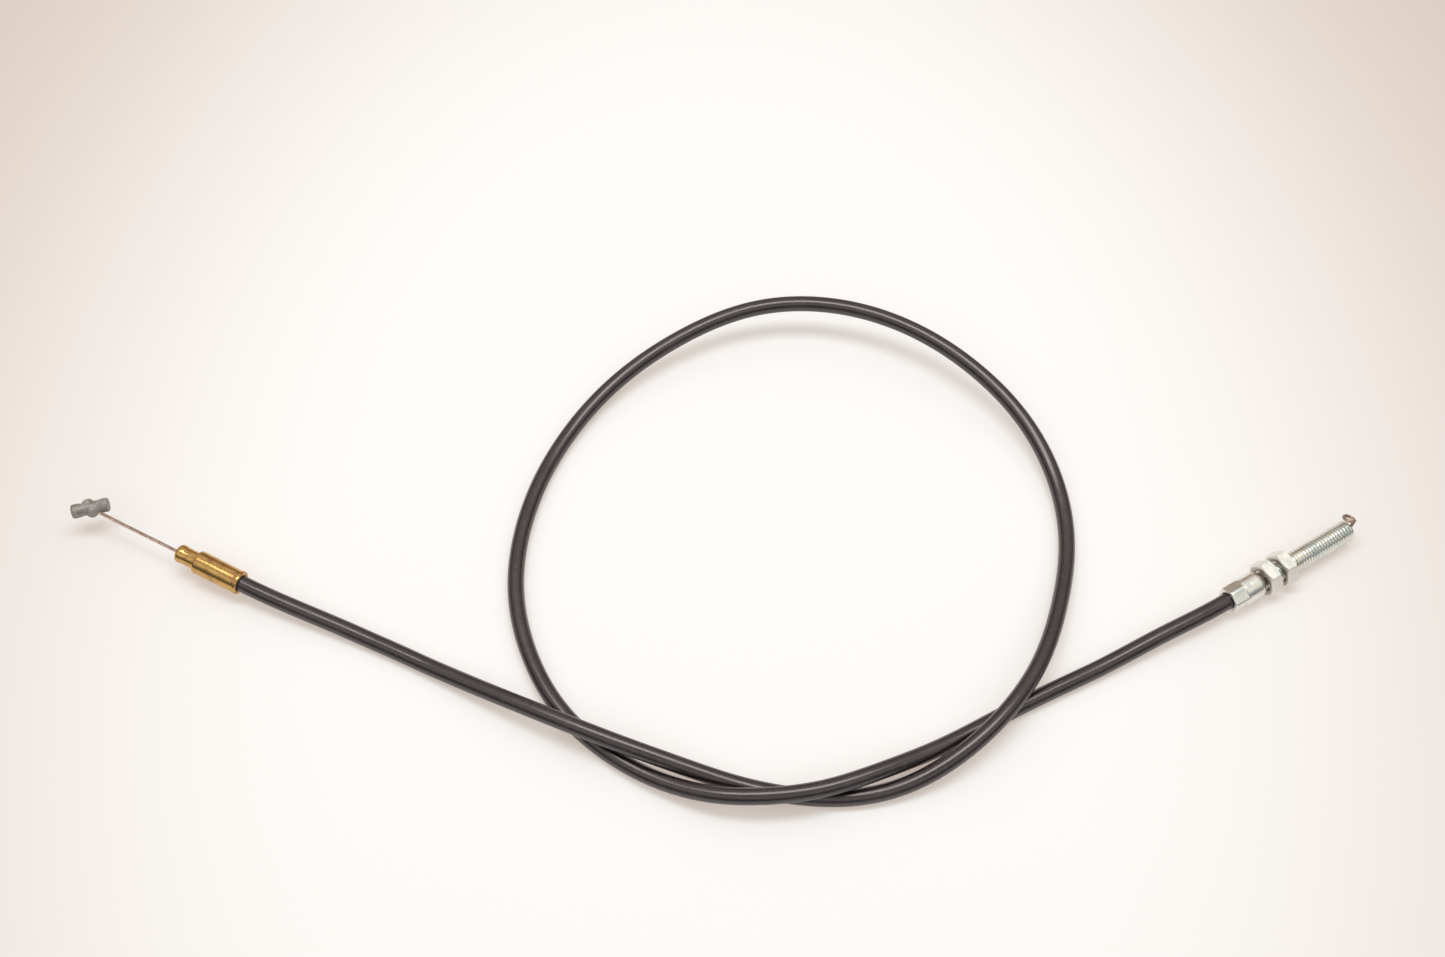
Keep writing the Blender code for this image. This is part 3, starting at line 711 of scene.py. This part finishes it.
thread = thread_wall(THREAD_START + THREAD_GAP, THREAD_END)
thread_mesh = bpy.data.meshes.new("thread")
thread.to_mesh(thread_mesh)
thread.free()
adjuster_shape.from_mesh(thread_mesh)
bpy.data.meshes.remove(thread_mesh)
for height in (THREAD_START, THREAD_END):
    rims = [
        edge for edge in adjuster_shape.edges
        if edge.is_boundary and all(abs(vert.co.z / MM - height) < RIM_REACH for vert in edge.verts)
    ]
    bmesh.ops.bridge_loops(adjuster_shape, edges=rims)
print("open edges left in the adjuster:", sum(edge.is_boundary for edge in adjuster_shape.edges))
closed_up(adjuster_shape)
make_piece(
    "adjuster_turned", adjuster_shape, adjuster_place, zinc_adjuster, "casing", "zinc_plate", "adjuster",
)

# %% [markdown]
# ## Lock nuts
#
# A nut is a hexagonal bar with a cone cut off each face. Where the cone meets the flats it leaves the arcs
# that make a nut look like a nut. We spin a ring of 96 columns, so that a column falls on every corner, and
# then move its outer points out to the hexagon: each to the depth at which the cone cuts that radius.

# %% Nuts
NUT_APOTHEM = 6.0
NUT_THICKNESS = 5.3
NUT_FACE_RADIUS = 5.42
NUT_BORE_RADIUS = 4.12
NUT_BORE_CHAMFER = 0.45
NUT_BLANK_RADIUS = 6.5
NUT_BLANK_RIM = 0.4
NUT_CONE_ANGLE = math.radians(30)
NUT_CORNER_BEVEL = 0.12
UPRIGHT_EDGE = 2.0
NUT_INNER_AT = 15.4
NUT_OUTER_AT = 22.75
NUT_OUTLINE = (
    (NUT_BORE_RADIUS + NUT_BORE_CHAMFER, 0.0), (NUT_FACE_RADIUS, 0.0),
    (NUT_BLANK_RADIUS, NUT_BLANK_RIM), (NUT_BLANK_RADIUS, NUT_THICKNESS - NUT_BLANK_RIM),
    (NUT_FACE_RADIUS, NUT_THICKNESS),
    (NUT_BORE_RADIUS + NUT_BORE_CHAMFER, NUT_THICKNESS), (NUT_BORE_RADIUS, NUT_THICKNESS - NUT_BORE_CHAMFER),
    (NUT_BORE_RADIUS, NUT_BORE_CHAMFER),
)


def nut_shape():
    shape = spun(NUT_OUTLINE)
    for vert in shape.verts:
        if vert.co.xy.length / MM < NUT_APOTHEM:
            continue
        around = math.atan2(vert.co.y, vert.co.x)
        from_flat = around % (math.pi / 3) - math.pi / 6
        radius = NUT_APOTHEM / math.cos(from_flat)
        depth = (radius - NUT_FACE_RADIUS) * math.tan(NUT_CONE_ANGLE)
        vert.co.z = (depth if vert.co.z / MM < NUT_THICKNESS / 2 else NUT_THICKNESS - depth) * MM
        vert.co.xy *= radius * MM / vert.co.xy.length
    corner_radius = NUT_APOTHEM / math.cos(math.pi / 6)
    corner_edges = [
        edge for edge in shape.edges
        if abs(edge.verts[0].co.z - edge.verts[1].co.z) > UPRIGHT_EDGE * MM
        and edge.verts[0].co.xy.length / MM > corner_radius - 0.01
    ]
    bmesh.ops.bevel(
        shape, geom=corner_edges, offset=NUT_CORNER_BEVEL * MM, offset_type="OFFSET", affect="EDGES",
        segments=2, profile=0.5, material=-1,
    )
    return closed_up(shape)


for label, at in (("inner", NUT_INNER_AT), ("outer", NUT_OUTER_AT)):
    place = adjuster_place @ Matrix.Translation((0, 0, at * MM))
    body = f"nut_{label}"
    make_piece(f"{body}_turned", nut_shape(), place, zinc_nuts, body, "zinc_plate", f"lock_{body}")

# %% [markdown]
# ## Stranded wire
#
# The wire is laid from nineteen fine strands, twelve of which show. Each of those is a helix around the
# wire's own line, and where the line bends into the eye, the helices bend with it. We carry a pair of
# directions along the line without letting them twist, and place every strand by its angle in that pair.
# One thicker core stands for the strands that don't show.

# %% Strands
WIRE_RADIUS = 0.6
STRAND_COUNT = 12
STRAND_RADIUS = 0.125
CORE_RADIUS = WIRE_RADIUS - 1.6 * STRAND_RADIUS
WIRE_LAY = 10.0
STRAND_STEP = 0.4


def evenly(points, spacing):
    """The same line with its points an equal distance apart, in millimetres."""
    points = np.array([tuple(point) for point in points]) / MM
    along = np.concatenate([[0.0], np.cumsum(np.linalg.norm(np.diff(points, axis=0), axis=1))])
    places = np.linspace(0, along[-1], max(3, round(along[-1] / spacing)))
    return [Vector(np.interp(place, along, points[:, axis]) for axis in range(3)) for place in places]


def add_strand(curve, points, radius_scale=1.0):
    strand = curve.splines.new("POLY")
    strand.points.add(len(points) - 1)
    for point, place in zip(strand.points, points):
        point.co = (*(place * MM), 1.0)
        point.radius = radius_scale


def stranded_wire(name, line, body, replaced):
    middle = evenly(line, STRAND_STEP)
    curve = bpy.data.curves.new(name, "CURVE")
    curve.dimensions = "3D"
    curve.bevel_depth = STRAND_RADIUS * MM
    curve.bevel_resolution = 1
    curve.use_fill_caps = True
    strands = [[] for _ in range(STRAND_COUNT)]
    side = (middle[1] - middle[0]).orthogonal().normalized()
    for i, place in enumerate(middle):
        ahead = (middle[min(i + 1, len(middle) - 1)] - middle[max(i - 1, 0)]).normalized()
        side = (side - ahead * side.dot(ahead)).normalized()
        other = ahead.cross(side)
        for k, strand in enumerate(strands):
            turn = 2 * math.pi * (k / STRAND_COUNT + i * STRAND_STEP / WIRE_LAY)
            out = side * math.cos(turn) + other * math.sin(turn)
            strand.append(place + out * (WIRE_RADIUS - STRAND_RADIUS))
    for strand in strands:
        add_strand(curve, strand)
    add_strand(curve, middle, radius_scale=CORE_RADIUS / STRAND_RADIUS)
    curve.materials.append(wire.material)
    piece = bpy.data.objects.new(name, curve)
    scene.collection.objects.link(piece)
    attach(piece, body)
    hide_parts(replaced)
    print(name, len(middle), "points a strand")
    return piece


# %% [markdown]
# On the lever's end the wire is straight: it leaves the ferrule's nose and ends inside the nipple. On the
# brake's end it comes out of the thread, turns up, and closes into a ring that leans back to one side.

# %% Lever end
FERRULE_LENGTH = 26.7 * MM
BARE_WIRE_LENGTH = 38.3 * MM
LEVER_END_DEPTH = 10.0 * MM

nose = FERRULE_MOUTH + ferrule_way * FERRULE_LENGTH
nipple_centre = nose + ferrule_way * BARE_WIRE_LENGTH
stranded_wire(
    "wire_lever_strands", [nose - ferrule_way * LEVER_END_DEPTH, nipple_centre],
    "lever_end", "inner_wire_lever_end",
)

# %% Eye
EYE_STUB_LENGTH = 37.5 * MM
EYE_BEND_AT = 0.1 * MM
EYE_BEND_RADIUS = 0.9 * MM
EYE_STEM_TOP = 5.2 * MM
EYE_RADIUS = 2.0 * MM
EYE_HEADING = math.radians(165)
EYE_TILT = math.radians(4)
EYE_LEAN = math.radians(25)
EYE_SWEEP = math.radians(335)
EYE_CLIMB = 1.2 * MM
BEND_STEPS = 8
RING_STEPS = 40
UP = Vector((0, 0, 1))


def eye_line():
    tip = ADJUSTER_MOUTH + adjuster_way * THREAD_END * MM
    bend_start = tip + adjuster_way * EYE_BEND_AT
    line = [tip - adjuster_way * EYE_STUB_LENGTH, bend_start]
    for step in range(1, BEND_STEPS + 1):
        turn = math.pi / 2 * step / BEND_STEPS
        ahead = EYE_BEND_RADIUS * math.sin(turn)
        line.append(bend_start + adjuster_way * ahead + UP * EYE_BEND_RADIUS * (1 - math.cos(turn)))
    stem_top = bend_start + adjuster_way * EYE_BEND_RADIUS + UP * EYE_STEM_TOP
    line.append(stem_top - UP * EYE_BEND_RADIUS)
    across = heading_vector(EYE_HEADING, EYE_TILT)
    flat = across.cross(UP).normalized()
    along = flat * math.cos(EYE_LEAN) + across.cross(flat) * math.sin(EYE_LEAN)
    ring_centre = stem_top + across * EYE_RADIUS
    for step in range(RING_STEPS + 1):
        turn = EYE_SWEEP * step / RING_STEPS
        on_ring = -across * math.cos(turn) + along * math.sin(turn)
        line.append(ring_centre + on_ring * EYE_RADIUS + UP * EYE_CLIMB * step / RING_STEPS)
    return line


stranded_wire("wire_eye_strands", eye_line(), "eye_end", "inner_wire_eye_end")

# %% [markdown]
# ## Nipple
#
# The nipple was cast in a two-part mould straight onto the wire: a barrel with slightly swollen ends and a
# lug across it. A casting has no sharp inner corners, so the two turned shapes are joined by a voxel
# remesh, which gives one skin, and smoothed. A fine ridge where the mould parted and a little unevenness
# are then moved into the vertices, because they show in the outline.

# %% Nipple
NIPPLE_HEADING = math.radians(14.7)
LUG_HEADING = math.radians(-50.0)
BARREL_OUTLINE = (
    (0, -6.65), (2.2, -6.65), (2.62, -6.2), (2.62, -4.4), (2.38, -3.0), (2.38, 3.0), (2.62, 4.4),
    (2.62, 6.2), (2.2, 6.65), (0, 6.65),
)
LUG_OUTLINE = ((0, -3.5), (1.5, -3.5), (2.35, -2.6), (2.35, 2.6), (1.5, 3.5), (0, 3.5))
NIPPLE_STEPS = 64
VOXEL = 0.14
SMOOTHINGS = 6
SEAM_HEIGHT = 0.09
SEAM_WIDTH = 0.22
UNEVENNESS = 0.05
WOBBLE_SIZE = 1.6


def cast_shape():
    barrel = spun(softened(BARREL_OUTLINE, radius=0.3), NIPPLE_STEPS)
    barrel.transform(laid(Vector(), heading_vector(NIPPLE_HEADING)))
    lug = spun(softened(LUG_OUTLINE, radius=0.5), NIPPLE_STEPS)
    lug.transform(laid(Vector(), heading_vector(LUG_HEADING)))
    lug_mesh = bpy.data.meshes.new("lug")
    lug.to_mesh(lug_mesh)
    lug.free()
    barrel.from_mesh(lug_mesh)
    bpy.data.meshes.remove(lug_mesh)
    return barrel


def one_skin(shape):
    """Joins what the bmesh holds into one smooth skin."""
    mesh = bpy.data.meshes.new("casting")
    shape.to_mesh(mesh)
    shape.free()
    carrier = bpy.data.objects.new("casting", mesh)
    scene.collection.objects.link(carrier)
    remesh = carrier.modifiers.new("skin", "REMESH")
    remesh.mode = "VOXEL"
    remesh.voxel_size = VOXEL * MM
    smooth = carrier.modifiers.new("fillets", "SMOOTH")
    smooth.factor = 0.5
    smooth.iterations = SMOOTHINGS
    evaluated = carrier.evaluated_get(bpy.context.evaluated_depsgraph_get())
    skin_shape = bmesh.new()
    skin_shape.from_mesh(evaluated.to_mesh())
    bpy.data.objects.remove(carrier)
    bpy.data.meshes.remove(mesh)
    return skin_shape


nipple_shape = one_skin(cast_shape())
for vert in nipple_shape.verts:
    normal = vert.normal.copy()
    wobble = noise.noise(vert.co / (WOBBLE_SIZE * MM))
    on_side = abs(normal.z) < 0.6
    ridge = max(0.0, 1 - abs(vert.co.z / MM) / SEAM_WIDTH) if on_side else 0.0
    vert.co += normal * (UNEVENNESS * wobble + SEAM_HEIGHT * ridge) * MM
nipple_place = Matrix.Translation(nipple_centre)
make_piece("nipple_cast", nipple_shape, nipple_place, cast, "lever_end", "cast_zinc", "nipple")

# %% [markdown]
# ## Floor and light
#
# The cable lies on a pale sheet that takes its shadows as a plain matt surface. What the camera and the
# reflections see of it is lifted with a warm glow, so that the sheet is nearly white, its shadows stay light
# and warm, and no extra light falls on the cable. Towards its edges the sheet darkens in colour and glow, a
# painted falloff of the light, faster to the sides than in depth.

# %% Floor
FLOOR_SIZE = 3.0
FLOOR_MIDDLE = (0.56, 0.62, 0.66)
# Darker colour and glow at the edges: a painted falloff of the light.
FLOOR_EDGE = (0.39, 0.38, 0.37)
FADE_SHAPE = (1.0, 0.6, 1.0)
FADE_START = 0.13
FADE_END = 0.40
GLOW_MIDDLE = (0.40, 0.32, 0.27)
GLOW_EDGE = (0.33, 0.24, 0.19)

floor_shape = bmesh.new()
bmesh.ops.create_grid(floor_shape, x_segments=1, y_segments=1, size=FLOOR_SIZE / 2)
floor_mesh = bpy.data.meshes.new("floor")
floor_shape.to_mesh(floor_mesh)
floor_shape.free()
floor = bpy.data.objects.new("floor", floor_mesh)
scene.collection.objects.link(floor)

sheet = Finish("floor_sheet", roughness=0.9)
# Darker towards the edges: a painted falloff of the light, in the sheet's colour and its glow.
oval = add_node(sheet.tree, "ShaderNodeVectorMath", {1: FADE_SHAPE}, operation="MULTIPLY")
away = add_node(sheet.tree, "ShaderNodeVectorMath", operation="LENGTH")
sheet.tree.links.new(sheet.where, oval.inputs[0])
sheet.tree.links.new(oval.outputs["Vector"], away.inputs[0])
fade = add_node(
    sheet.tree, "ShaderNodeMapRange", {"From Min": FADE_START, "From Max": FADE_END},
    interpolation_type="SMOOTHSTEP",
)
sheet.tree.links.new(away.outputs["Value"], fade.inputs["Value"])
sheet.feed("Base Color", sheet.mix(fade.outputs["Result"], FLOOR_MIDDLE, FLOOR_EDGE))
sheet.shader.inputs["Specular IOR Level"].default_value = 0.0
rays = add_node(sheet.tree, "ShaderNodeLightPath").outputs
seen = math_node(sheet.tree, "ADD", rays["Is Camera Ray"], rays["Is Glossy Ray"])
seen = math_node(sheet.tree, "ADD", seen, rays["Is Transmission Ray"], clamped=True)
sheet.feed("Emission Color", sheet.mix(fade.outputs["Result"], GLOW_MIDDLE, GLOW_EDGE))
sheet.feed("Emission Strength", seen)
floor_mesh.materials.append(sheet.material)
print("floor", FLOOR_SIZE, "m across")

# %% [markdown]
# ### Lamp and room
#
# The highlights in the picture tell where its light comes from. They are narrow on the strands that run
# from left to right and wide on the others, so the lamp overhead is long and narrow. The metals are bright
# wherever they mirror a direction that is more than 40 degrees up, and dark near the horizon: bluish on
# the camera's side and brown on the far side. So the room is two walls with colours by height, blended
# from the near one to the far one. A height here is the sine of the angle above the horizon.

# %% Lamp
LAMP_PLACE = Vector((0.0, 0.12, 1.0))
LAMP_AIM = Vector((0.0, 0.03, 0.0))
LAMP_SIZE = (0.90, 0.30)
LAMP_POWER = 5.2

lamp_data = bpy.data.lights.new("overhead", "AREA")
lamp_data.shape = "RECTANGLE"
lamp_data.size, lamp_data.size_y = LAMP_SIZE
lamp_data.energy = LAMP_POWER
lamp = bpy.data.objects.new("overhead", lamp_data)
lamp.location = LAMP_PLACE
lamp.rotation_euler = (LAMP_PLACE - LAMP_AIM).to_track_quat("Z", "Y").to_euler()
scene.collection.objects.link(lamp)
print("lamp of", LAMP_POWER, "W,", round(LAMP_PLACE.z, 2), "m up")

# %% Room
WALL_HEIGHTS = (0.0, 0.30, 0.50, 0.64, 0.80, 0.90, 1.0)
NEAR_WALL = (
    (0.10, 0.12, 0.13), (0.18, 0.21, 0.22), (0.40, 0.42, 0.42), (1.05, 1.03, 0.97), (1.00, 0.99, 0.94),
    (0.55, 0.55, 0.53), (0.50, 0.50, 0.49),
)
FAR_WALL = (
    (0.20, 0.12, 0.075), (0.40, 0.30, 0.22), (0.62, 0.54, 0.48), (0.80, 0.76, 0.72), (0.80, 0.79, 0.76),
    (0.55, 0.55, 0.53), (0.50, 0.50, 0.49),
)
NEAR_ENDS = -0.5
FAR_BEGINS = 0.6

world = bpy.data.worlds.new("studio")
world.use_nodes = True
room = world.node_tree
ways = add_node(room, "ShaderNodeSeparateXYZ")
room.links.new(add_node(room, "ShaderNodeTexCoord").outputs["Generated"], ways.inputs["Vector"])
facing = add_node(
    room, "ShaderNodeMapRange", {"From Min": NEAR_ENDS, "From Max": FAR_BEGINS},
    interpolation_type="SMOOTHSTEP",
)
room.links.new(ways.outputs["Y"], facing.inputs["Value"])
walls = add_node(room, "ShaderNodeMix", data_type="RGBA")
room.links.new(facing.outputs["Result"], walls.inputs["Factor"])
sides = [socket for socket in walls.inputs if socket.type == "RGBA"]
for socket, colors in zip(sides, (NEAR_WALL, FAR_WALL)):
    ramp = add_node(room, "ShaderNodeValToRGB")
    for height in WALL_HEIGHTS[1:-1]:
        ramp.color_ramp.elements.new(height)
    for element, height, color in zip(ramp.color_ramp.elements, WALL_HEIGHTS, colors):
        element.position = height
        element.color = (*color, 1.0)
    room.links.new(ways.outputs["Z"], ramp.inputs["Fac"])
    room.links.new(ramp.outputs["Color"], socket)
blended = next(socket for socket in walls.outputs if socket.type == "RGBA")
room.links.new(blended, room.nodes["Background"].inputs["Color"])
scene.world = world
scene.view_settings.view_transform = "Standard"
print("room with", len(WALL_HEIGHTS), "heights on each wall")
